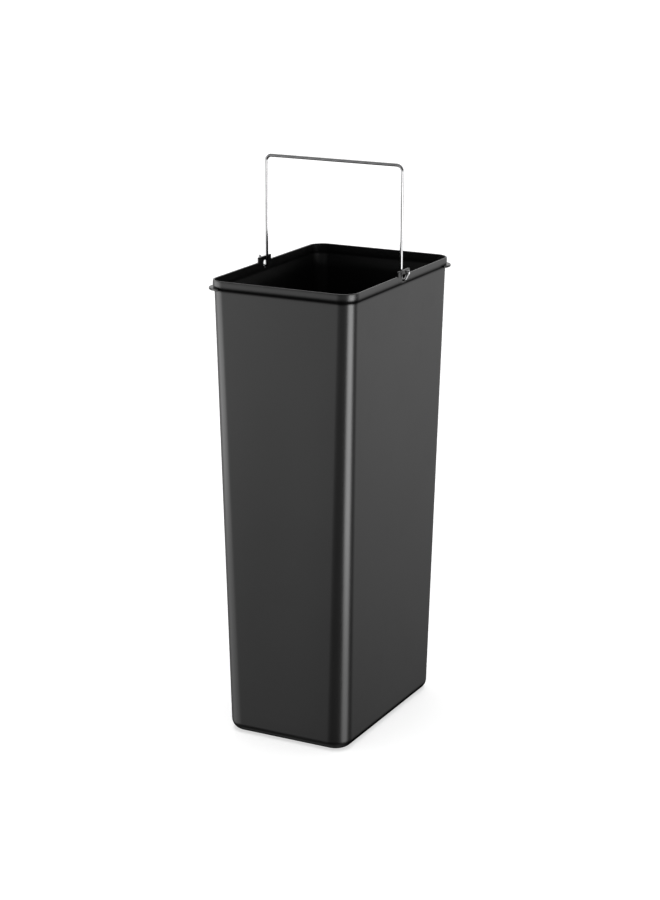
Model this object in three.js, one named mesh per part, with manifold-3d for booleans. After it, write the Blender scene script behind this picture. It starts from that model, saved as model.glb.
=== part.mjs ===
// Tall slim inner bucket of a kitchen waste bin: a tapered rectangular plastic shell with a stepped-out
// rim collar, two pivot ears, two corner finger lugs, and a sprung-in round wire bail handle.
// Millimetres, +Z up. X runs along the short face, Y along the long sides.
// The origin is the centre of the base, on the floor.

import * as THREE from 'three';
import { mergeVertices } from 'three/addons/utils/BufferGeometryUtils.js';
import Module from 'manifold-3d';

const wasm = await Module();
wasm.setup();

// Driving dimensions of the shell
const HEIGHT = 600;
const RIM_WIDTH = 201;
const RIM_DEPTH = 292.8;
const RIM_CORNER = 21;
const BASE_WIDTH = 173.2;
const BASE_DEPTH = 268.3;
const BASE_CORNER = 24;
const BASE_FILLET = 13;
const WALL = 1.8;
const FLOOR = 2.6;
const CORNER_STEPS = 8;

// Rim collar: the wall flares a little, then steps outward into a slightly barrelled band whose lower part
// curls under. Inside, the wall slopes back in between two depths below the rim.
const COLLAR_HEIGHT = 11.8;
const COLLAR_STEP = 2.1;
const COLLAR_WALL = 2.3;
const BARREL_RADIUS = 26;
const BARREL_CENTRE = 4.5;
const LIP_POWER = 2.7;
const FLARE_HEIGHT = 6;
const FLARE_OUT = 0.4;
const RIM_RADIUS = 0.65;
const SLOPE_TOP = 7;
const SLOPE_BOTTOM = 32;

// Bail handle
const WIRE_RADIUS = 2;
const WIRE_SIDES = 14;
const LEG_X = 95.9;
const BAR_ABOVE_RIM = 136.8;
const BAR_BEND = 7.5;
const PIVOT_BELOW_RIM = 6.4;
const FOOT_BEND = 3.2;
const TAIL_FOOT_X = 101.6;
const TAIL_TOP_X = 107;
const TAIL_TOP_ABOVE_RIM = 3.7;
const TIP_X = 104.8;
const TIP_ABOVE_RIM = 5.7;
const TAIL_BEND = 2.6;
const BEND_STEPS = 6;

// Pivot ears, in line with the long sides of the collar
const EAR_WIDTH = 32.4;
const EAR_ABOVE_RIM = 6.2;
const EAR_BELOW_RIM = 9;
const EAR_CORNER = 1.6;
const EAR_PROUD = 0.4;
const EAR_THICKNESS = 2.5;
const HOLE_WIDTH = 9.4;
const HOLE_TOP = 1.3;
const HOLE_BOTTOM = -8.7;
const POCKET_WIDTH = 13;
const POCKET_TOP = 4.4;
const POCKET_DEPTH = 0.9;

// Finger lugs at two opposite corners, level with the collar's lower edge
const LUG_RADIUS = 20;
const LUG_OFFSET = 6;
const LUG_ANGLE = 32;
const LUG_THICKNESS = 2.6;
const LUG_TOP_BELOW_RIM = 9.6;
const LUG_ROOT_RADIUS = 18.55;

const blackPlastic = new THREE.MeshStandardMaterial({ color: 0x2b2b2c, roughness: 0.45, metalness: 0 });
const chromedSteel = new THREE.MeshStandardMaterial({ color: 0xd8dadc, roughness: 0.12, metalness: 1 });

function solidOf(geometry) {
  const bare = geometry.clone();
  bare.deleteAttribute('normal');
  bare.deleteAttribute('uv');
  const merged = mergeVertices(bare, 1e-4);
  const mesh = new wasm.Mesh({
    numProp: 3,
    vertProperties: new Float32Array(merged.attributes.position.array),
    triVerts: new Uint32Array(merged.index.array),
  });
  return new wasm.Manifold(mesh);
}

function geometryOf(solid) {
  const mesh = solid.getMesh();
  const geometry = new THREE.BufferGeometry();
  geometry.setAttribute('position', new THREE.BufferAttribute(new Float32Array(mesh.vertProperties), 3));
  geometry.setIndex(new THREE.BufferAttribute(new Uint32Array(mesh.triVerts), 1));
  geometry.computeVertexNormals();
  return geometry;
}

// A ring is a rounded rectangle at height z: its half width, half depth and corner radius.
function bodyRing(z, inset) {
  const t = z / (HEIGHT - COLLAR_HEIGHT);
  return {
    z,
    halfWidth: THREE.MathUtils.lerp(BASE_WIDTH / 2, RIM_WIDTH / 2 - COLLAR_STEP, t) - inset,
    halfDepth: THREE.MathUtils.lerp(BASE_DEPTH / 2, RIM_DEPTH / 2 - COLLAR_STEP, t) - inset,
    radius: THREE.MathUtils.lerp(BASE_CORNER, RIM_CORNER - COLLAR_STEP, t) - inset,
  };
}

function collarRing(belowRim, inset) {
  return {
    z: HEIGHT - belowRim,
    halfWidth: RIM_WIDTH / 2 - inset,
    halfDepth: RIM_DEPTH / 2 - inset,
    radius: RIM_CORNER - inset,
  };
}

// How far the collar's face lies inside the rim's widest line: barrelled above, curling under below.
function collarInset(below) {
  const drop = below - BARREL_CENTRE;
  if (drop < 0) {
    return BARREL_RADIUS - Math.sqrt(BARREL_RADIUS ** 2 - drop ** 2);
  }
  return (COLLAR_STEP - FLARE_OUT) * (drop / (COLLAR_HEIGHT - BARREL_CENTRE)) ** LIP_POWER;
}

// The shell's section, from the centre of the underside, up the outside and down the inside.
function shellSection() {
  const rings = [{ z: 0, halfWidth: 0, halfDepth: 0, radius: 0 }];
  const filletSteps = 5;
  for (let i = 0; i <= filletSteps; i++) {
    const a = (i / filletSteps) * (Math.PI / 2);
    rings.push(bodyRing(BASE_FILLET * (1 - Math.cos(a)), BASE_FILLET * (1 - Math.sin(a))));
  }
  const flareSteps = 3;
  for (let i = 0; i <= flareSteps; i++) {
    const t = i / flareSteps;
    rings.push(bodyRing(HEIGHT - COLLAR_HEIGHT - FLARE_HEIGHT * (1 - t), -FLARE_OUT * t ** 3));
  }
  const faceSteps = 7;
  for (let i = 1; i <= faceSteps; i++) {
    const t = Math.sin((i / faceSteps) * (Math.PI / 2));
    const below = THREE.MathUtils.lerp(COLLAR_HEIGHT, RIM_RADIUS, t);
    rings.push(collarRing(below, collarInset(below)));
  }
  const edgeSteps = 3;
  for (let i = 1; i <= edgeSteps; i++) {
    const a = (i / edgeSteps) * (Math.PI / 2);
    const inset = collarInset(RIM_RADIUS) + RIM_RADIUS * (1 - Math.cos(a));
    rings.push(collarRing(RIM_RADIUS * (1 - Math.sin(a)), inset));
  }
  for (let i = 0; i <= edgeSteps; i++) {
    const a = (i / edgeSteps) * (Math.PI / 2);
    const inset = COLLAR_WALL - 0.8 * RIM_RADIUS * (1 - Math.sin(a));
    rings.push(collarRing(RIM_RADIUS * (1 - Math.cos(a)), inset));
  }
  rings.push(collarRing(SLOPE_TOP, COLLAR_WALL));
  rings.push(bodyRing(HEIGHT - SLOPE_BOTTOM, WALL));
  const innerFillet = BASE_FILLET - WALL;
  for (let i = filletSteps; i >= 0; i--) {
    const a = (i / filletSteps) * (Math.PI / 2);
    rings.push(bodyRing(FLOOR + innerFillet * (1 - Math.cos(a)), WALL + innerFillet * (1 - Math.sin(a))));
  }
  rings.push({ z: FLOOR, halfWidth: 0, halfDepth: 0, radius: 0 });
  return rings;
}

// A turned section whose four quarters are moved apart, so that the flat sides span between them.
function shellGeometry() {
  const rings = shellSection();
  const profile = rings.map((ring) => new THREE.Vector2(ring.radius, ring.z));
  const segments = 4 * CORNER_STEPS;
  const geometry = new THREE.LatheGeometry(profile, segments);
  const position = geometry.attributes.position;
  for (let i = 0; i <= segments; i++) {
    const column = i % segments;
    const quarter = Math.floor(column / CORNER_STEPS);
    const turn = (column % CORNER_STEPS) / (CORNER_STEPS - 1);
    const angle = (quarter + turn) * (Math.PI / 2);
    const signX = quarter === 0 || quarter === 3 ? 1 : -1;
    const signY = quarter < 2 ? 1 : -1;
    rings.forEach((ring, j) => {
      const x = signX * (ring.halfWidth - ring.radius) + ring.radius * Math.cos(angle);
      const y = signY * (ring.halfDepth - ring.radius) + ring.radius * Math.sin(angle);
      position.setXYZ(i * rings.length + j, x, y, ring.z);
    });
  }
  return geometry;
}

// An outline drawn in (y, height above the rim), extruded outward along X from x = from to x = to.
function slab(outline, from, to) {
  const geometry = new THREE.ExtrudeGeometry(outline, { depth: to - from, bevelEnabled: false, curveSegments: 8 });
  const axes = new THREE.Matrix4().makeBasis(
    new THREE.Vector3(0, 1, 0),
    new THREE.Vector3(0, 0, 1),
    new THREE.Vector3(1, 0, 0),
  );
  geometry.applyMatrix4(axes);
  geometry.translate(from, 0, HEIGHT);
  return geometry;
}

function earOutline() {
  const half = EAR_WIDTH / 2;
  const shape = new THREE.Shape();
  shape.moveTo(-half, -EAR_BELOW_RIM);
  shape.lineTo(half, -EAR_BELOW_RIM);
  shape.lineTo(half, EAR_ABOVE_RIM - EAR_CORNER);
  shape.absarc(half - EAR_CORNER, EAR_ABOVE_RIM - EAR_CORNER, EAR_CORNER, 0, Math.PI / 2, false);
  shape.absarc(-half + EAR_CORNER, EAR_ABOVE_RIM - EAR_CORNER, EAR_CORNER, Math.PI / 2, Math.PI, false);
  shape.closePath();
  return shape;
}

function slotOutline(width, bottom, top) {
  const radius = width / 2;
  const shape = new THREE.Shape();
  shape.absarc(0, top - radius, radius, 0, Math.PI, false);
  shape.absarc(0, Math.min(bottom + radius, top - radius), radius, Math.PI, 2 * Math.PI, false);
  shape.closePath();
  return shape;
}

function pocketOutline() {
  const half = POCKET_WIDTH / 2;
  const corner = 3;
  const shape = new THREE.Shape();
  shape.moveTo(-half, -EAR_BELOW_RIM);
  shape.lineTo(half, -EAR_BELOW_RIM);
  shape.absarc(half - corner, POCKET_TOP - corner, corner, 0, Math.PI / 2, false);
  shape.absarc(-half + corner, POCKET_TOP - corner, corner, Math.PI / 2, Math.PI, false);
  shape.closePath();
  return shape;
}

// The ear on the +X side, its outer pocket, and its pivot hole.
function earParts() {
  const outer = RIM_WIDTH / 2 + EAR_PROUD;
  return {
    plate: slab(earOutline(), outer - EAR_THICKNESS, outer),
    pocket: slab(pocketOutline(), outer - POCKET_DEPTH, outer + 1),
    hole: slab(slotOutline(HOLE_WIDTH, HOLE_BOTTOM, HOLE_TOP), outer - 2 * EAR_THICKNESS - WALL, outer + 1),
  };
}

// The half-round lug at the +X +Y corner, rooted inside the wall.
function lugGeometry() {
  const angle = THREE.MathUtils.degToRad(LUG_ANGLE);
  const centreX = LUG_OFFSET * Math.cos(angle);
  const centreY = LUG_OFFSET * Math.sin(angle);
  const reach = THREE.MathUtils.degToRad(62);
  const shape = new THREE.Shape();
  shape.absarc(centreX, centreY, LUG_RADIUS, angle - reach, angle + reach, false);
  shape.absarc(0, 0, LUG_ROOT_RADIUS, angle + 0.7 * reach, angle - 0.7 * reach, true);
  shape.closePath();
  const geometry = new THREE.ExtrudeGeometry(shape, {
    depth: LUG_THICKNESS,
    bevelEnabled: false,
    curveSegments: 12,
  });
  geometry.translate(
    RIM_WIDTH / 2 - RIM_CORNER,
    RIM_DEPTH / 2 - RIM_CORNER,
    HEIGHT - LUG_TOP_BELOW_RIM - LUG_THICKNESS,
  );
  return geometry;
}

function makeBucketShell() {
  let shell = solidOf(shellGeometry());
  const { plate, pocket, hole } = earParts();
  for (const turn of [0, Math.PI]) {
    shell = shell.add(solidOf(plate.clone().rotateZ(turn)));
    shell = shell.subtract(solidOf(pocket.clone().rotateZ(turn)));
    shell = shell.subtract(solidOf(hole.clone().rotateZ(turn)));
    shell = shell.add(solidOf(lugGeometry().rotateZ(turn)));
  }
  const mesh = new THREE.Mesh(geometryOf(shell), blackPlastic);
  mesh.name = 'bucket_shell';
  return mesh;
}

// A path through fixed stations: one extrusion step falls between each two of them.
class StationPath extends THREE.Curve {
  constructor(stations) {
    super();
    this.stations = stations;
  }

  getPoint(t, target = new THREE.Vector3()) {
    const last = this.stations.length - 1;
    const place = THREE.MathUtils.clamp(t, 0, 1) * last;
    const index = Math.min(Math.floor(place), last - 1);
    return target.lerpVectors(this.stations[index], this.stations[index + 1], place - index);
  }

  getUtoTmapping(u) {
    return u;
  }
}

// Rounds each corner of a bent wire to its own radius.
function bentWire(corners) {
  const stations = [corners[0].at];
  for (let i = 1; i < corners.length - 1; i++) {
    const { at, bend } = corners[i];
    const back = corners[i - 1].at.clone().sub(at).normalize();
    const on = corners[i + 1].at.clone().sub(at).normalize();
    const half = back.angleTo(on) / 2;
    const middle = back.clone().add(on).normalize();
    const centre = at.clone().addScaledVector(middle, bend / Math.sin(half));
    const start = at.clone().addScaledVector(back, bend / Math.tan(half)).sub(centre);
    const turn = new THREE.Vector3().crossVectors(back, on).normalize();
    const sweep = -(Math.PI - 2 * half);
    for (let k = 0; k <= BEND_STEPS; k++) {
      stations.push(start.clone().applyAxisAngle(turn, (sweep * k) / BEND_STEPS).add(centre));
    }
  }
  stations.push(corners[corners.length - 1].at);
  return stations;
}

function makeBailHandle() {
  const point = (x, aboveRim) => new THREE.Vector3(x, 0, HEIGHT + aboveRim);
  const rightHalf = [
    { at: point(LEG_X, BAR_ABOVE_RIM), bend: BAR_BEND },
    { at: point(LEG_X, -PIVOT_BELOW_RIM), bend: FOOT_BEND },
    { at: point(TAIL_FOOT_X, -PIVOT_BELOW_RIM), bend: FOOT_BEND },
    { at: point(TAIL_TOP_X, TAIL_TOP_ABOVE_RIM), bend: TAIL_BEND },
    { at: point(TIP_X, TIP_ABOVE_RIM), bend: 0 },
  ];
  const leftHalf = rightHalf.map(({ at, bend }) => ({ at: new THREE.Vector3(-at.x, at.y, at.z), bend }));
  const stations = bentWire([...leftHalf.reverse(), ...rightHalf]);
  const section = new THREE.Shape().absarc(0, 0, WIRE_RADIUS, 0, 2 * Math.PI, false);
  const geometry = new THREE.ExtrudeGeometry(section, {
    steps: stations.length - 1,
    curveSegments: WIRE_SIDES / 2,
    extrudePath: new StationPath(stations),
  });
  const mesh = new THREE.Mesh(geometryOf(solidOf(geometry)), chromedSteel);
  mesh.name = 'bail_handle';
  return mesh;
}

const group = new THREE.Group();
group.add(makeBucketShell());
group.add(makeBailHandle());

export default group;
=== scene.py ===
import math

import bmesh
import bpy
from mathutils import Matrix, Vector


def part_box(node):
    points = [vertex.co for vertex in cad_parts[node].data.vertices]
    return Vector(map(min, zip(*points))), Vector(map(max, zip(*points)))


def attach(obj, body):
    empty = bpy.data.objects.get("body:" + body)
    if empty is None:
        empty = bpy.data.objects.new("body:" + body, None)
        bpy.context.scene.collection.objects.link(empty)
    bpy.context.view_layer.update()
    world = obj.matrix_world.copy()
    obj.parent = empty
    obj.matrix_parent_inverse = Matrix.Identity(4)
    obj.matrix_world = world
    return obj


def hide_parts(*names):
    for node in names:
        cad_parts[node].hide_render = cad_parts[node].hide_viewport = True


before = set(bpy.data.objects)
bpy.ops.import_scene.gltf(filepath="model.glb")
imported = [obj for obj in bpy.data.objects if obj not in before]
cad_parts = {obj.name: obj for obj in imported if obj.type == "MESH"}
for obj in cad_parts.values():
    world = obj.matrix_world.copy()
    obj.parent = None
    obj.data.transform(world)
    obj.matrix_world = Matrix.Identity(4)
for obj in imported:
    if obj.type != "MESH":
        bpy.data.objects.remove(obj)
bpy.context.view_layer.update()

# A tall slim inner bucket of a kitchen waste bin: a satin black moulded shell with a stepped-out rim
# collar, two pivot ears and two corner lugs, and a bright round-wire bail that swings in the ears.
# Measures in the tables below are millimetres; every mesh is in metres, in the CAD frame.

scene = bpy.context.scene
scene.view_settings.view_transform = "Standard"
scene.view_settings.look = "None"

MM = 0.001

# ---------------------------------------------------------------- measures

EAR_ABOVE_RIM = 6.2
shell_low, shell_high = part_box("bucket_shell")
HEIGHT = (shell_high.z - shell_low.z) / MM - EAR_ABOVE_RIM

RIM_WIDTH = 201.0
RIM_DEPTH = 292.8
RIM_CORNER = 21.0
BASE_WIDTH = 173.2
BASE_DEPTH = 268.3
BASE_CORNER = 24.0
BASE_FILLET = 13.0
WALL = 1.8
FLOOR = 2.6
WALL_BOW = 0.35

COLLAR_HEIGHT = 11.8
COLLAR_STEP = 2.1
COLLAR_WALL = 2.3
BARREL_RADIUS = 26.0
BARREL_CENTRE = 4.5
LIP_POWER = 2.7
FLARE_HEIGHT = 4.5
FLARE_OUT = 0.35
RIM_RADIUS = 0.65
SLOPE_TOP = 7.0
SLOPE_BOTTOM = 32.0

EAR_WIDTH = 32.4
EAR_BELOW_RIM = 7.5
EAR_CORNER = 1.6
EAR_FOOT_CORNER = 0.5
EAR_BEVEL = 0.45
EAR_PROUD = 0.1
EAR_THICKNESS = 2.5
HOLE_WIDTH = 9.4
HOLE_TOP = 1.3
HOLE_BOTTOM = -8.7
POCKET_WIDTH = 13.0
POCKET_TOP = 4.4
POCKET_BOTTOM = -11.0
POCKET_DEPTH = 0.9
POCKET_CORNER = 3.0

LUG_RADIUS = 20.0
LUG_OFFSET = 6.0
LUG_ANGLE = 32.0
LUG_THICKNESS = 2.6
LUG_TOP_BELOW_RIM = 9.6
LUG_ROOT_RADIUS = 18.55
LUG_REACH = 62.0
LUG_BEVEL = 0.55

WIRE_RADIUS = 2.0
LEG_X = 95.9
BAR_ABOVE_RIM = 136.8
BAR_BEND = 7.5
PIVOT_BELOW_RIM = 6.4
FOOT_BEND = 3.2
TAIL_FOOT_X = 101.6
TAIL_TOP_X = 107.0
TAIL_TOP_ABOVE_RIM = 3.7
TIP_X = 104.8
TIP_ABOVE_RIM = 5.7
TAIL_BEND = 2.6
TIP_CHAMFER = 0.5
WIRE_SIDES = 24
WIRE_BEND_STEPS = 20
WIRE_STEP = 4.0

CORNER_STEPS = 26
FILLET_STEPS = 12
FLARE_STEPS = 8
COLLAR_STEPS = 18
RIM_STEPS = 6
SLOPE_STEPS = 12
SHORT_SIDE_STEPS = 18
LONG_SIDE_STEPS = 26
BODY_ROWS = 44
MERGE_DISTANCE = 0.000002
SHELL_SHARP = math.radians(32)
WIRE_SHARP = math.radians(40)

# ---------------------------------------------------------------- camera

CAMERA_YAW = math.radians(27.136)
CAMERA_PITCH = math.radians(15.884)
CAMERA_ROLL = math.radians(0.196)
CAMERA_DISTANCE = 2.88187
CAMERA_LENS = 88.064
AIM_ACROSS = -0.002674
AIM_UP = 0.056342


def make_camera():
    back = Vector((
        math.sin(CAMERA_YAW) * math.cos(CAMERA_PITCH),
        -math.cos(CAMERA_YAW) * math.cos(CAMERA_PITCH),
        math.sin(CAMERA_PITCH),
    ))
    level = Vector((math.cos(CAMERA_YAW), math.sin(CAMERA_YAW), 0.0))
    rise = back.cross(level)
    right = level * math.cos(CAMERA_ROLL) + rise * math.sin(CAMERA_ROLL)
    up = rise * math.cos(CAMERA_ROLL) - level * math.sin(CAMERA_ROLL)
    middle = Vector((0.0, 0.0, HEIGHT * MM / 2))
    place = middle + right * AIM_ACROSS + up * AIM_UP + back * CAMERA_DISTANCE
    data = bpy.data.cameras.new("camera")
    data.sensor_width = 36.0
    data.lens = CAMERA_LENS
    data.clip_start = 0.05
    data.clip_end = 60.0
    camera = bpy.data.objects.new("camera", data)
    camera.matrix_world = Matrix((
        (right.x, up.x, back.x, place.x),
        (right.y, up.y, back.y, place.y),
        (right.z, up.z, back.z, place.z),
        (0.0, 0.0, 0.0, 1.0),
    ))
    scene.collection.objects.link(camera)
    scene.camera = camera


make_camera()

# ---------------------------------------------------------------- node trees


class Tree:
    """Short calls that add nodes; an input is a number, a tuple or another node's output."""

    def __init__(self, tree):
        self.tree = tree
        tree.nodes.clear()

    def node(self, kind, settings=None, **inputs):
        made = self.tree.nodes.new(kind)
        for name, value in (settings or {}).items():
            setattr(made, name, value)
        for name, value in inputs.items():
            self.put(made, name.replace("_", " "), value)
        return made

    def put(self, made, name, value):
        socket = made.inputs[name]
        if isinstance(value, bpy.types.NodeSocket):
            self.tree.links.new(value, socket)
        else:
            socket.default_value = value

    def math(self, operation, *values, clamp=False):
        made = self.tree.nodes.new("ShaderNodeMath")
        made.operation = operation
        made.use_clamp = clamp
        for i, value in enumerate(values):
            if isinstance(value, bpy.types.NodeSocket):
                self.tree.links.new(value, made.inputs[i])
            else:
                made.inputs[i].default_value = value
        return made.outputs[0]

    def ramp(self, value, start, end, low=0.0, high=1.0):
        made = self.tree.nodes.new("ShaderNodeMapRange")
        made.interpolation_type = "SMOOTHSTEP"
        for i, put in enumerate((value, start, end, low, high)):
            if isinstance(put, bpy.types.NodeSocket):
                self.tree.links.new(put, made.inputs[i])
            else:
                made.inputs[i].default_value = put
        return made.outputs[0]

    def noise(self, vector, scale, detail=2.0, roughness=0.5):
        made = self.node("ShaderNodeTexNoise", Vector=vector, Scale=scale, Detail=detail, Roughness=roughness)
        return made.outputs[0]


# ---------------------------------------------------------------- studio

# Bearings are degrees from -Y towards +X, and heights are the z of a direction, from -1 down to 1 up.
SKY_LEVELS = [  # (height, radiance)
    (-1.0, 0.32), (-0.9, 0.22), (-0.74, 0.06), (-0.62, 0.06), (-0.48, 0.19), (-0.36, 0.43), (-0.22, 0.72),
    (-0.08, 0.86), (0.0, 0.52), (0.12, 0.16), (0.3, 0.08), (0.55, 0.08), (0.72, 0.35), (1.0, 0.45),
]
SKY_LOBES = [  # (bearing, core, fade, factor, height where it starts, height where it is full)
    (22.0, 12.0, 44.0, 0.42, 0.25, 0.0),
    (122.0, 6.0, 15.0, 0.40, 0.25, 0.0),
    (158.0, 12.0, 14.0, 0.94, 0.25, 0.0),
    (206.0, 20.0, 24.0, 0.34, 0.25, 0.0),
    (206.0, 30.0, 12.0, 0.40, -0.31, -0.45),
    (-28.0, 18.0, 24.0, 0.52, -0.28, -0.46),
]
GLOW_BEARING = 207.0
GLOW_CORE = 60.0
GLOW_FADE = 60.0
GLOW_LEVELS = [(-1.0, 0.0), (-0.05, 0.0), (0.12, 0.8), (0.3, 1.0), (0.45, 0.5), (0.62, 0.0), (1.0, 0.0)]
FAR_PANELS = [(83.0, 15.0, 9.0, 1.5), (-66.0, 18.0, 24.0, 0.55)]  # (bearing, core, fade, radiance)
FAR_PANEL_FOOT = (-0.64, -0.5)
FAR_PANEL_TOP = (0.16, 0.02)
PANELS = [  # (name, corner it faces, bearing, width, bottom, radiance)
    ("right", "near", 76.5, 0.73, -0.185, 2.1),
    ("left", "left", -66.0, 0.95, -0.05, 0.95),
]
PANEL_CORNER_X = 0.92
PANEL_CORNER_Y = 0.94
PANEL_DISTANCE = 1.0
PANEL_TOP = 0.635
CARD_BEARING = 78.0
CARD_FALL = 46.0
CARD_SIZE = (2.6, 0.55)
CARD_RADIANCE = 0.9
OVERHEAD = 2.4
OVERHEAD_SPREAD = 40
FLOOR_GLOW = 0.62
FLOOR_GAP = 0.0002
FLOOR_SIDES = 96


def make_world():
    """Colourless surroundings, brightest just below the horizon and uneven by bearing.

    The levels, lobes, glow and far panels were set so that from the photograph's side the faces
    come out near its greys.
    """
    world = bpy.data.worlds.new("studio")
    scene.world = world
    world.use_nodes = True
    t = Tree(world.node_tree)
    unit = t.node("ShaderNodeVectorMath", {"operation": "NORMALIZE"})
    t.tree.links.new(t.node("ShaderNodeTexCoord").outputs["Generated"], unit.inputs[0])
    split = t.node("ShaderNodeSeparateXYZ")
    t.tree.links.new(unit.outputs[0], split.inputs[0])
    x, y, z = split.outputs
    flat = t.math("SQRT", t.math("ADD", t.math("MULTIPLY", x, x), t.math("MULTIPLY", y, y)))
    flat = t.math("MAXIMUM", flat, 0.001)

    def lobe(azimuth, core, fade):
        """1 near a bearing and 0 away from it, where bearing 0 is -Y and 90 is +X."""
        a = math.radians(azimuth)
        along = t.math("ADD", t.math("MULTIPLY", x, math.sin(a)), t.math("MULTIPLY", y, -math.cos(a)))
        facing = t.math("DIVIDE", along, flat)
        return t.ramp(facing, math.cos(math.radians(core + fade)), math.cos(math.radians(core)))

    def by_height(levels):
        curve = t.node("ShaderNodeFloatCurve")
        t.tree.links.new(t.math("MULTIPLY_ADD", z, 0.5, 0.5), curve.inputs["Value"])
        points = curve.mapping.curves[0].points
        for place, amount in levels[1:-1]:
            points.new(place / 2 + 0.5, amount)
        points[0].location = (0.0, levels[0][1])
        points[-1].location = (1.0, levels[-1][1])
        curve.mapping.update()
        return curve.outputs[0]

    level = by_height(SKY_LEVELS)
    for azimuth, core, fade, change, start, full in SKY_LOBES:
        weight = t.math("MULTIPLY", lobe(azimuth, core, fade), t.ramp(z, start, full))
        level = t.math("MULTIPLY", level, t.math("MULTIPLY_ADD", weight, change - 1.0, 1.0))
    glow = t.math("MULTIPLY", by_height(GLOW_LEVELS), lobe(GLOW_BEARING, GLOW_CORE, GLOW_FADE))
    level = t.math("ADD", level, glow)
    band = t.math("MULTIPLY", t.ramp(z, *FAR_PANEL_FOOT), t.ramp(z, *FAR_PANEL_TOP))
    for azimuth, core, fade, radiance in FAR_PANELS:
        panel = t.math("MULTIPLY", lobe(azimuth, core, fade), t.math("MULTIPLY", band, radiance))
        level = t.math("ADD", level, panel)
    light = t.node("ShaderNodeBackground")
    light.inputs["Color"].default_value = (1.0, 1.0, 1.0, 1.0)
    t.tree.links.new(level, light.inputs["Strength"])
    out = t.node("ShaderNodeOutputWorld")
    t.tree.links.new(light.outputs[0], out.inputs["Surface"])


def make_panel(name, corner, azimuth, width, low, high, radiance):
    """An upright soft panel that only gloss sees, facing a corner of the object from one bearing."""
    a = math.radians(azimuth)
    toward = Vector((math.sin(a), -math.cos(a), 0.0))
    data = bpy.data.lights.new(name, "AREA")
    data.shape = "RECTANGLE"
    data.size = width
    data.size_y = high - low
    data.energy = radiance * math.pi * width * (high - low)
    panel = bpy.data.objects.new(name, data)
    scene.collection.objects.link(panel)
    place = Vector((corner[0], corner[1], 0.0)) + toward * PANEL_DISTANCE
    panel.location = (place.x, place.y, (low + high) / 2)
    panel.rotation_mode = "QUATERNION"
    panel.rotation_quaternion = toward.to_track_quat("Z", "Y")
    panel.visible_camera = False
    panel.visible_diffuse = False


def make_card(piece):
    """A low card, linked to one piece alone and seen by its gloss, that gives the wire's foot a glint."""
    a = math.radians(CARD_BEARING)
    fall = math.radians(CARD_FALL)
    toward = Vector((math.sin(a) * math.cos(fall), -math.cos(a) * math.cos(fall), -math.sin(fall)))
    data = bpy.data.lights.new("card", "AREA")
    data.shape = "RECTANGLE"
    data.size, data.size_y = CARD_SIZE
    data.energy = CARD_RADIANCE * math.pi * CARD_SIZE[0] * CARD_SIZE[1]
    card = bpy.data.objects.new("card", data)
    scene.collection.objects.link(card)
    card.location = Vector((TAIL_FOOT_X * MM, 0.0, HEIGHT * MM)) + toward * PANEL_DISTANCE
    card.rotation_mode = "QUATERNION"
    card.rotation_quaternion = toward.to_track_quat("Z", "Y")
    card.visible_camera = False
    card.visible_diffuse = False
    lit = bpy.data.collections.new("lit_by_card")
    lit.objects.link(piece)
    card.light_linking.receiver_collection = lit


def make_lights():
    """The two gloss-only panels, and an overhead light that only diffuse surfaces see."""
    near = (RIM_WIDTH / 2 * MM * PANEL_CORNER_X, -RIM_DEPTH / 2 * MM * PANEL_CORNER_Y)
    left = (-near[0], near[1])
    for name, corner, azimuth, width, bottom, radiance in PANELS:
        place = near if corner == "near" else left
        make_panel(name, place, azimuth, width, bottom, PANEL_TOP, radiance)
    data = bpy.data.lights.new("overhead", "SUN")
    data.angle = math.radians(OVERHEAD_SPREAD)
    data.energy = OVERHEAD
    sun = bpy.data.objects.new("overhead", data)
    scene.collection.objects.link(sun)
    sun.location = (0.0, 0.0, 3.0)
    sun.visible_glossy = False


def make_floor():
    """A round pale floor that curves up into a backdrop far behind, seen by the camera only."""
    profile = [(0.02, 0.0), (0.5, 0.0), (1.5, 0.0), (5.0, 0.0)]
    profile += [(5.0 + 3.0 * math.sin(a), 3.0 - 3.0 * math.cos(a)) for a in arc(12)[1:]]
    profile.append((8.0, 7.0))
    verts = []
    for r, z in profile:
        for k in range(FLOOR_SIDES):
            a = 2 * math.pi * k / FLOOR_SIDES
            verts.append((r * math.cos(a), r * math.sin(a), z))
    faces = []
    for j in range(len(profile) - 1):
        for k in range(FLOOR_SIDES):
            n = (k + 1) % FLOOR_SIDES
            low, high = j * FLOOR_SIDES, (j + 1) * FLOOR_SIDES
            faces.append((low + k, high + k, high + n, low + n))
    faces.append(tuple(range(FLOOR_SIDES)))
    mesh = bpy.data.meshes.new("floor")
    mesh.from_pydata(verts, [], faces)
    mesh.shade_smooth()
    floor = bpy.data.objects.new("floor", mesh)
    scene.collection.objects.link(floor)
    material = bpy.data.materials.new("pale_floor")
    material.use_nodes = True
    t = Tree(material.node_tree)
    coord = t.node("ShaderNodeTexCoord").outputs["Object"]
    tone = t.ramp(t.noise(coord, 3.0), 0.3, 0.7, 0.50, 0.53)
    colour = t.node("ShaderNodeCombineColor", Red=tone, Green=tone, Blue=tone)
    shader = t.node("ShaderNodeBsdfPrincipled", Roughness=0.9)
    shader.inputs["Emission Color"].default_value = (1.0, 1.0, 1.0, 1.0)
    shader.inputs["Emission Strength"].default_value = FLOOR_GLOW
    t.tree.links.new(colour.outputs[0], shader.inputs["Base Color"])
    out = t.node("ShaderNodeOutputMaterial")
    t.tree.links.new(shader.outputs[0], out.inputs["Surface"])
    mesh.materials.append(material)
    floor.location.z = shell_low.z - FLOOR_GAP
    floor.visible_glossy = False
    floor.visible_diffuse = False
    floor.visible_shadow = False


def arc(steps, start=0.0, end=90.0):
    return [math.radians(start + (end - start) * i / steps) for i in range(steps + 1)]


make_world()
make_lights()
make_floor()

# ---------------------------------------------------------------- materials

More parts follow.
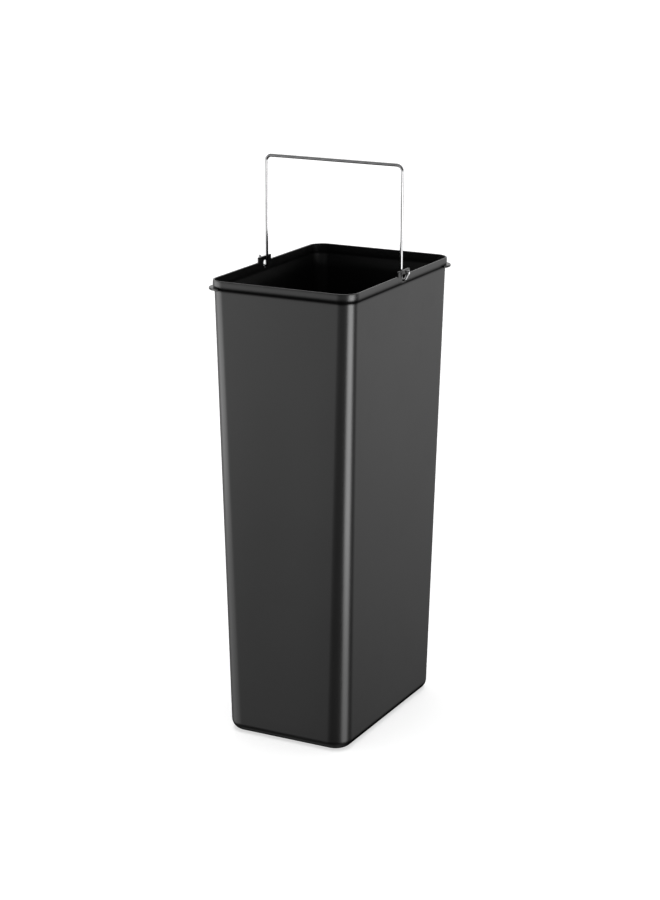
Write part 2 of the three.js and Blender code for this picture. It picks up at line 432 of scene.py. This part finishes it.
PLASTIC_TONE = (0.0022, 0.0030)
PLASTIC_RUBBED = 0.0006
PLASTIC_ROUGHNESS = (0.285, 0.31)
PLASTIC_IOR = 1.75
PLASTIC_SPECULAR = 0.5
SWELL_DEPTH = 0.0004
GRAIN_DEPTH = 0.00002
WIRE_TONE = (0.50, 0.56)
WIRE_ROUGHNESS = (0.07, 0.14)
WIRE_DRAWN_DEPTH = 0.00001

# The crease shade, painted shade made by taking specular level off the crease under the collar's lip: where
# it fades in and out below the rim, and past the collar, in metres; the z of a normal between which it fades
# from faces that look up; and how much it takes off the specular level.
CREASE_FADE_IN = (0.0060, 0.0110)
CREASE_FADE_OUT = (0.0148, 0.0116)
CREASE_PAST_COLLAR = (0.0006, 0.0002)
CREASE_FACING_UP = (0.8, 0.5)
CREASE_SHADE_AMOUNT = 0.38


def crease_shade(t, coord):
    """1 in the crease under the collar's lip, where painted shade lowers the specular level; 0 elsewhere and
    on whatever stands out past the collar.
    """
    split = t.node("ShaderNodeSeparateXYZ", Vector=coord)
    x, y, z = split.outputs
    below = t.math("SUBTRACT", HEIGHT * MM, z)
    band = t.math("MULTIPLY", t.ramp(below, *CREASE_FADE_IN), t.ramp(below, *CREASE_FADE_OUT))
    past_x = t.math("SUBTRACT", t.math("ABSOLUTE", x), RIM_WIDTH / 2 * MM)
    past_y = t.math("SUBTRACT", t.math("ABSOLUTE", y), RIM_DEPTH / 2 * MM)
    inside = t.ramp(t.math("MAXIMUM", past_x, past_y), *CREASE_PAST_COLLAR)
    facing = t.node("ShaderNodeSeparateXYZ", Vector=t.node("ShaderNodeTexCoord").outputs["Normal"])
    upright = t.ramp(facing.outputs[2], *CREASE_FACING_UP)
    return t.math("MULTIPLY", band, t.math("MULTIPLY", inside, upright))


def black_plastic():
    material = bpy.data.materials.new("black_plastic")
    material.use_nodes = True
    t = Tree(material.node_tree)
    coord = t.node("ShaderNodeTexCoord").outputs["Object"]
    cloud = t.noise(coord, 9.0, 3.0)
    grain = t.noise(coord, 2600.0, 1.0)
    pits = t.node("ShaderNodeTexVoronoi", {"feature": "SMOOTH_F1"}, Vector=coord, Scale=1500.0).outputs[0]
    wave = t.noise(coord, 7.0, 1.0)
    rubbed = t.ramp(t.noise(coord, 38.0, 4.0, 0.6), 0.56, 0.72)
    tone = t.ramp(cloud, 0.3, 0.7, *PLASTIC_TONE)
    tone = t.math("ADD", tone, t.math("MULTIPLY", rubbed, PLASTIC_RUBBED))
    colour = t.node("ShaderNodeCombineColor", Red=tone, Green=tone, Blue=t.math("MULTIPLY", tone, 1.04))
    rough = t.ramp(cloud, 0.25, 0.75, *PLASTIC_ROUGHNESS)
    rough = t.math("ADD", rough, t.math("MULTIPLY", rubbed, 0.02))
    rough = t.math("ADD", rough, t.math("MULTIPLY", t.math("SUBTRACT", grain, 0.5), 0.05))
    height = t.math("ADD", t.math("MULTIPLY", grain, 0.5), t.math("MULTIPLY", pits, 0.5))
    # Painted shade: the specular level is lowered in the crease under the collar's lip, where shade falls.
    shine_less_crease_shade = t.math("MULTIPLY_ADD", crease_shade(t, coord), -CREASE_SHADE_AMOUNT, PLASTIC_SPECULAR)
    swell = t.node("ShaderNodeBump", Strength=1.0, Distance=SWELL_DEPTH, Height=wave)
    fine = t.node("ShaderNodeBump", Strength=0.35, Distance=GRAIN_DEPTH, Height=height)
    t.tree.links.new(swell.outputs[0], fine.inputs["Normal"])
    shader = t.node("ShaderNodeBsdfPrincipled", Roughness=rough, IOR=PLASTIC_IOR)
    t.tree.links.new(colour.outputs[0], shader.inputs["Base Color"])
    t.tree.links.new(shine_less_crease_shade, shader.inputs["Specular IOR Level"])
    t.tree.links.new(fine.outputs[0], shader.inputs["Normal"])
    out = t.node("ShaderNodeOutputMaterial")
    t.tree.links.new(shader.outputs[0], out.inputs["Surface"])
    return material


def chromed_wire():
    material = bpy.data.materials.new("chromed_wire")
    material.use_nodes = True
    t = Tree(material.node_tree)
    coord = t.node("ShaderNodeTexCoord").outputs["UV"]
    stretched = t.node("ShaderNodeMapping")
    t.tree.links.new(coord, stretched.inputs["Vector"])
    stretched.inputs["Scale"].default_value = (6.0, 160.0, 1.0)
    drawn = t.noise(stretched.outputs[0], 4.0, 3.0)
    blotch = t.noise(t.node("ShaderNodeTexCoord").outputs["Object"], 120.0, 2.0)
    tone = t.ramp(blotch, 0.3, 0.7, *WIRE_TONE)
    colour = t.node("ShaderNodeCombineColor", Red=tone, Green=tone, Blue=t.math("MULTIPLY", tone, 1.012))
    rough = t.ramp(drawn, 0.3, 0.7, *WIRE_ROUGHNESS)
    bump = t.node("ShaderNodeBump", Strength=0.25, Distance=WIRE_DRAWN_DEPTH, Height=drawn)
    shader = t.node("ShaderNodeBsdfPrincipled", Metallic=1.0, Roughness=rough)
    t.tree.links.new(colour.outputs[0], shader.inputs["Base Color"])
    t.tree.links.new(bump.outputs[0], shader.inputs["Normal"])
    out = t.node("ShaderNodeOutputMaterial")
    t.tree.links.new(shader.outputs[0], out.inputs["Surface"])
    return material


# ---------------------------------------------------------------- meshes


def link(name, mesh):
    piece = bpy.data.objects.new(name, mesh)
    scene.collection.objects.link(piece)
    return piece


def body_ring(z, inset):
    t = z / (HEIGHT - COLLAR_HEIGHT)
    half_x = BASE_WIDTH / 2 + (RIM_WIDTH / 2 - COLLAR_STEP - BASE_WIDTH / 2) * t - inset
    half_y = BASE_DEPTH / 2 + (RIM_DEPTH / 2 - COLLAR_STEP - BASE_DEPTH / 2) * t - inset
    radius = BASE_CORNER + (RIM_CORNER - COLLAR_STEP - BASE_CORNER) * t - inset
    bow = WALL_BOW * math.sin(math.pi * min(max(t, 0.0), 1.0))
    return z, half_x, half_y, radius, bow


def collar_ring(below_rim, inset):
    return HEIGHT - below_rim, RIM_WIDTH / 2 - inset, RIM_DEPTH / 2 - inset, RIM_CORNER - inset, 0.0


def collar_inset(below_rim):
    """How far the collar's face lies inside the rim's widest line: barrelled above, curling under below."""
    drop = below_rim - BARREL_CENTRE
    if drop < 0:
        return BARREL_RADIUS - math.sqrt(BARREL_RADIUS ** 2 - drop ** 2)
    return (COLLAR_STEP - FLARE_OUT) * (drop / (COLLAR_HEIGHT - BARREL_CENTRE)) ** LIP_POWER


def shell_rings():
    """The shell's section as rings, from the middle of the underside round to the middle of the floor."""
    rings = []
    full = body_ring(0.0, BASE_FILLET)
    for share in (0.25, 0.5, 0.75):
        rings.append((0.0, full[1] * share, full[2] * share, full[3] * share, 0.0))
    for a in arc(FILLET_STEPS):
        rings.append(body_ring(BASE_FILLET * (1 - math.cos(a)), BASE_FILLET * (1 - math.sin(a))))
    top = HEIGHT - COLLAR_HEIGHT
    for i in range(1, BODY_ROWS + 1):
        rings.append(body_ring(BASE_FILLET + (top - FLARE_HEIGHT - BASE_FILLET) * i / BODY_ROWS, 0.0))
    for i in range(1, FLARE_STEPS + 1):
        share = i / FLARE_STEPS
        rings.append(body_ring(top - FLARE_HEIGHT * (1 - share), -FLARE_OUT * share ** 3))
    for i in range(1, COLLAR_STEPS + 1):
        below = COLLAR_HEIGHT + (RIM_RADIUS - COLLAR_HEIGHT) * math.sin(math.pi / 2 * i / COLLAR_STEPS)
        rings.append(collar_ring(below, collar_inset(below)))
    for a in arc(RIM_STEPS)[1:]:
        inset = collar_inset(RIM_RADIUS) + RIM_RADIUS * (1 - math.cos(a))
        rings.append(collar_ring(RIM_RADIUS * (1 - math.sin(a)), inset))
    for a in arc(RIM_STEPS):
        inset = COLLAR_WALL - 0.8 * RIM_RADIUS * (1 - math.sin(a))
        rings.append(collar_ring(RIM_RADIUS * (1 - math.cos(a)), inset))
    start = collar_ring(SLOPE_TOP, COLLAR_WALL)
    end = body_ring(HEIGHT - SLOPE_BOTTOM, WALL)
    for i in range(SLOPE_STEPS + 1):
        share = i / SLOPE_STEPS
        ease = share * share * (3 - 2 * share)
        z = start[0] + (end[0] - start[0]) * share
        rings.append((z, *(start[k] + (end[k] - start[k]) * ease for k in (1, 2, 3, 4))))
    inner = BASE_FILLET - WALL
    start = FLOOR + inner
    for i in range(1, BODY_ROWS + 1):
        rings.append(body_ring(end[0] + (start - end[0]) * i / BODY_ROWS, WALL))
    for a in reversed(arc(FILLET_STEPS)[:-1]):
        rings.append(body_ring(FLOOR + inner * (1 - math.cos(a)), WALL + inner * (1 - math.sin(a))))
    full = rings[-1]
    for share in (0.75, 0.5, 0.25):
        rings.append((FLOOR, full[1] * share, full[2] * share, full[3] * share, 0.0))
    return rings


def ring_points(z, half_x, half_y, radius, bow):
    """One closed ring, anticlockwise from above, with the flat sides bowed in a little at their middles."""
    points = []
    for quarter in range(4):
        sign_x = 1 if quarter in (0, 3) else -1
        sign_y = 1 if quarter < 2 else -1
        cx = sign_x * (half_x - radius)
        cy = sign_y * (half_y - radius)
        for a in arc(CORNER_STEPS, 90.0 * quarter, 90.0 * (quarter + 1)):
            points.append((cx + radius * math.cos(a), cy + radius * math.sin(a)))
        along_x = quarter in (0, 2)
        steps = SHORT_SIDE_STEPS if along_x else LONG_SIDE_STEPS
        reach = half_x - radius if along_x else half_y - radius
        for i in range(1, steps):
            share = 0.5 - 0.5 * math.cos(math.pi * i / steps)
            place = reach * (1 - 2 * share)
            sink = bow * math.sin(math.pi * share) ** 2
            if along_x:
                points.append((sign_x * place, sign_y * (half_y - sink)))
            else:
                points.append((sign_x * (half_x - sink), sign_y * place))
    return [(px * MM, py * MM, z * MM) for px, py in points]


def shell_mesh():
    rings = [ring_points(*ring) for ring in shell_rings()]
    count = len(rings[0])
    verts = [point for ring in rings for point in ring]
    faces = []
    for j in range(len(rings) - 1):
        for i in range(count):
            k = (i + 1) % count
            faces.append((j * count + i, j * count + k, (j + 1) * count + k, (j + 1) * count + i))
    for j, z in ((0, 0.0), (len(rings) - 1, FLOOR)):
        middle = len(verts)
        verts.append((0.0, 0.0, z * MM))
        for i in range(count):
            k = (i + 1) % count
            one, two = j * count + i, j * count + k
            faces.append((two, one, middle) if j == 0 else (one, two, middle))
    mesh = bpy.data.meshes.new("bucket_shell")
    mesh.from_pydata(verts, [], faces)
    mesh.update()
    return mesh


def bend(before, at, after, radius, steps):
    """The points of the arc that rounds the corner at, from the side of before to the side of after."""
    back = (Vector(before) - at).normalized()
    on = (Vector(after) - at).normalized()
    half = back.angle(on) / 2
    centre = at + (back + on).normalized() * (radius / math.sin(half))
    start = at + back * (radius / math.tan(half)) - centre
    turn = 1 if back.x * on.y - back.y * on.x < 0 else -1
    sweep = turn * (math.pi - 2 * half)
    out = []
    for k in range(steps + 1):
        a = sweep * k / steps
        out.append(centre + Vector((
            start.x * math.cos(a) - start.y * math.sin(a),
            start.x * math.sin(a) + start.y * math.cos(a),
        )))
    return out


def rounded(points, corners, steps=8):
    """An outline with its corners rounded, each to its own radius."""
    out = []
    for i, (at, radius) in enumerate(zip(points, corners)):
        at = Vector(at)
        if radius > 0:
            out.extend(bend(points[i - 1], at, points[(i + 1) % len(points)], radius, steps))
        else:
            out.append(at)
    return out


def plate(outline, axes, low, high, bevel):
    """A plate between two levels along its third axis, with its edges rounded."""
    bm = bmesh.new()
    across, up, out = (Vector(a) for a in axes)
    ring = [bm.verts.new((across * p[0] + up * p[1] + out * low) * MM) for p in outline]
    bottom = bm.faces.new(ring)
    lift = bmesh.ops.extrude_face_region(bm, geom=[bottom])
    top = [v for v in lift["geom"] if isinstance(v, bmesh.types.BMVert)]
    bmesh.ops.translate(bm, verts=top, vec=out * ((high - low) * MM))
    bmesh.ops.recalc_face_normals(bm, faces=bm.faces)
    if bevel > 0:
        rims = [e for e in bm.edges if e.calc_face_angle(0.0) > math.radians(60)]
        bmesh.ops.bevel(
            bm, geom=rims, offset=bevel * MM, offset_type="OFFSET", segments=4, profile=0.5,
            affect="EDGES", clamp_overlap=True,
        )
    mesh = bpy.data.meshes.new("plate")
    bm.to_mesh(mesh)
    bm.free()
    return mesh


def slot_outline(width, bottom, top, steps=14):
    r = width / 2
    upper = [(r * math.cos(a), top - r + r * math.sin(a)) for a in arc(steps, 0.0, 180.0)]
    low_z = min(bottom + r, top - r)
    lower = [(r * math.cos(a), low_z + r * math.sin(a)) for a in arc(steps, 180.0, 360.0)]
    if abs(low_z - (top - r)) < 0.5:
        lower = lower[1:-1]
    return upper + lower


def side_tools(turn):
    """Ear plate, pocket, hole and lug of one side; turn is +1 for +X and -1 for the half-turned -X side."""
    outer = RIM_WIDTH / 2 + EAR_PROUD
    upright = ((0, turn, 0), (0, 0, 1), (turn, 0, 0))
    half = EAR_WIDTH / 2
    ear = [(-half, HEIGHT - EAR_BELOW_RIM), (half, HEIGHT - EAR_BELOW_RIM),
           (half, HEIGHT + EAR_ABOVE_RIM), (-half, HEIGHT + EAR_ABOVE_RIM)]
    ear = rounded(ear, [EAR_FOOT_CORNER, EAR_FOOT_CORNER, EAR_CORNER, EAR_CORNER])
    half = POCKET_WIDTH / 2
    pocket = [(-half, HEIGHT + POCKET_BOTTOM), (half, HEIGHT + POCKET_BOTTOM),
              (half, HEIGHT + POCKET_TOP), (-half, HEIGHT + POCKET_TOP)]
    pocket = rounded(pocket, [0, 0, POCKET_CORNER, POCKET_CORNER])
    hole = [(y, HEIGHT + z) for y, z in slot_outline(HOLE_WIDTH, HOLE_BOTTOM, HOLE_TOP)]
    level = ((turn, 0, 0), (0, turn, 0), (0, 0, 1))
    angle = math.radians(LUG_ANGLE)
    reach = math.radians(LUG_REACH)
    cx = RIM_WIDTH / 2 - RIM_CORNER
    cy = RIM_DEPTH / 2 - RIM_CORNER
    rim = [(cx + LUG_OFFSET * math.cos(angle) + LUG_RADIUS * math.cos(angle + a),
            cy + LUG_OFFSET * math.sin(angle) + LUG_RADIUS * math.sin(angle + a))
           for a in arc(48, -math.degrees(reach), math.degrees(reach))]
    root = [(cx + LUG_ROOT_RADIUS * math.cos(angle + a), cy + LUG_ROOT_RADIUS * math.sin(angle + a))
            for a in arc(16, math.degrees(0.7 * reach), -math.degrees(0.7 * reach))]
    top = HEIGHT - LUG_TOP_BELOW_RIM
    return [
        ("UNION", plate(ear, upright, outer - EAR_THICKNESS, outer, EAR_BEVEL)),
        ("DIFFERENCE", plate(pocket, upright, outer - POCKET_DEPTH, outer + 1, 0.0)),
        ("DIFFERENCE", plate(hole, upright, outer - 2 * EAR_THICKNESS - WALL, outer + 2, 0.0)),
        ("UNION", plate(rim + root, level, top - LUG_THICKNESS, top, LUG_BEVEL)),
    ]


def make_shell(material):
    shell = link("bucket_body", shell_mesh())
    tools = []
    for turn in (1, -1):
        for operation, mesh in side_tools(turn):
            tool = link("tool", mesh)
            tools.append(tool)
            cut = shell.modifiers.new("join", "BOOLEAN")
            cut.operation = operation
            cut.solver = "EXACT"
            cut.object = tool
    dg = bpy.context.evaluated_depsgraph_get()
    joined = bpy.data.meshes.new_from_object(shell.evaluated_get(dg), depsgraph=dg)
    joined.name = "bucket_body"
    shell.modifiers.clear()
    for tool in tools:
        bpy.data.objects.remove(tool)
    bm = bmesh.new()
    bm.from_mesh(joined)
    bmesh.ops.remove_doubles(bm, verts=bm.verts, dist=MERGE_DISTANCE)
    for face in bm.faces:
        face.smooth = True
    for edge in bm.edges:
        edge.smooth = edge.calc_face_angle(0.0) < SHELL_SHARP
    bm.to_mesh(joined)
    bm.free()
    shell.data = joined
    joined.materials.clear()
    joined.materials.append(material)
    weigh = shell.modifiers.new("normals", "WEIGHTED_NORMAL")
    weigh.mode = "FACE_AREA"
    weigh.keep_sharp = True
    return shell


def bent_wire():
    """The wire's centre line in (x, z), each corner rounded to its own radius."""
    right = [
        ((LEG_X, HEIGHT + BAR_ABOVE_RIM), BAR_BEND),
        ((LEG_X, HEIGHT - PIVOT_BELOW_RIM), FOOT_BEND),
        ((TAIL_FOOT_X, HEIGHT - PIVOT_BELOW_RIM), FOOT_BEND),
        ((TAIL_TOP_X, HEIGHT + TAIL_TOP_ABOVE_RIM), TAIL_BEND),
        ((TIP_X, HEIGHT + TIP_ABOVE_RIM), 0.0),
    ]
    left = [((-x, z), radius) for (x, z), radius in right]
    corners = left[::-1] + right
    points = [Vector(corners[0][0])]
    for i in range(1, len(corners) - 1):
        at, radius = Vector(corners[i][0]), corners[i][1]
        arc_points = bend(corners[i - 1][0], at, corners[i + 1][0], radius, WIRE_BEND_STEPS)
        straight = (arc_points[0] - points[-1]).length
        steps = int(straight / WIRE_STEP)
        for k in range(1, steps + 1):
            points.append(points[-1].lerp(arc_points[0], 1 / (steps + 2 - k)))
        points.extend(arc_points)
    points.append(Vector(corners[-1][0]))
    return points


def wire_mesh():
    line = bent_wire()
    stations = []
    run = 0.0
    for i, p in enumerate(line):
        before = line[max(i - 1, 0)]
        after = line[min(i + 1, len(line) - 1)]
        tangent = (after - before).normalized()
        run += (p - before).length
        stations.append((p, tangent, WIRE_RADIUS, run))
    caps = [(TIP_CHAMFER * (1 - math.sin(a)), WIRE_RADIUS - TIP_CHAMFER * (1 - math.cos(a))) for a in arc(4)]

    def capped(station, sign):
        p, tangent, _, run = station
        return [(p - tangent * (sign * depth), tangent, r, run) for depth, r in caps]

    first = capped(stations[0], -1)[::-1]
    last = capped(stations[-1], 1)
    rows = first + stations[1:-1] + last[::-1]
    bm = bmesh.new()
    uv = bm.loops.layers.uv.new("wire")
    rings = []
    for p, tangent, radius, run in rows:
        normal = Vector((-tangent.y, tangent.x))
        ring = []
        for k in range(WIRE_SIDES):
            a = 2 * math.pi * k / WIRE_SIDES
            side = normal * (radius * math.cos(a))
            ring.append(bm.verts.new(((p.x + side.x) * MM, radius * math.sin(a) * MM, (p.y + side.y) * MM)))
        rings.append((ring, run))
    for (ring, run), (following, later) in zip(rings, rings[1:]):
        for k in range(WIRE_SIDES):
            n = (k + 1) % WIRE_SIDES
            face = bm.faces.new((ring[k], ring[n], following[n], following[k]))
            places = ((run, k), (run, k + 1), (later, k + 1), (later, k))
            for loop, (u, v) in zip(face.loops, places):
                loop[uv].uv = (u * MM * 10, v / WIRE_SIDES)
    bm.faces.new(rings[0][0][::-1])
    bm.faces.new(rings[-1][0])
    bmesh.ops.recalc_face_normals(bm, faces=bm.faces)
    for face in bm.faces:
        face.smooth = True
    for edge in bm.edges:
        edge.smooth = edge.calc_face_angle(0.0) < WIRE_SHARP
    mesh = bpy.data.meshes.new("bail_wire")
    bm.to_mesh(mesh)
    bm.free()
    return mesh


plastic = black_plastic()
chrome = chromed_wire()

bucket = make_shell(plastic)
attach(bucket, "bucket")
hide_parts("bucket_shell")

bail = link("bail_wire", wire_mesh())
bail.data.materials.append(chrome)
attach(bail, "bail")
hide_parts("bail_handle")
make_card(bail)
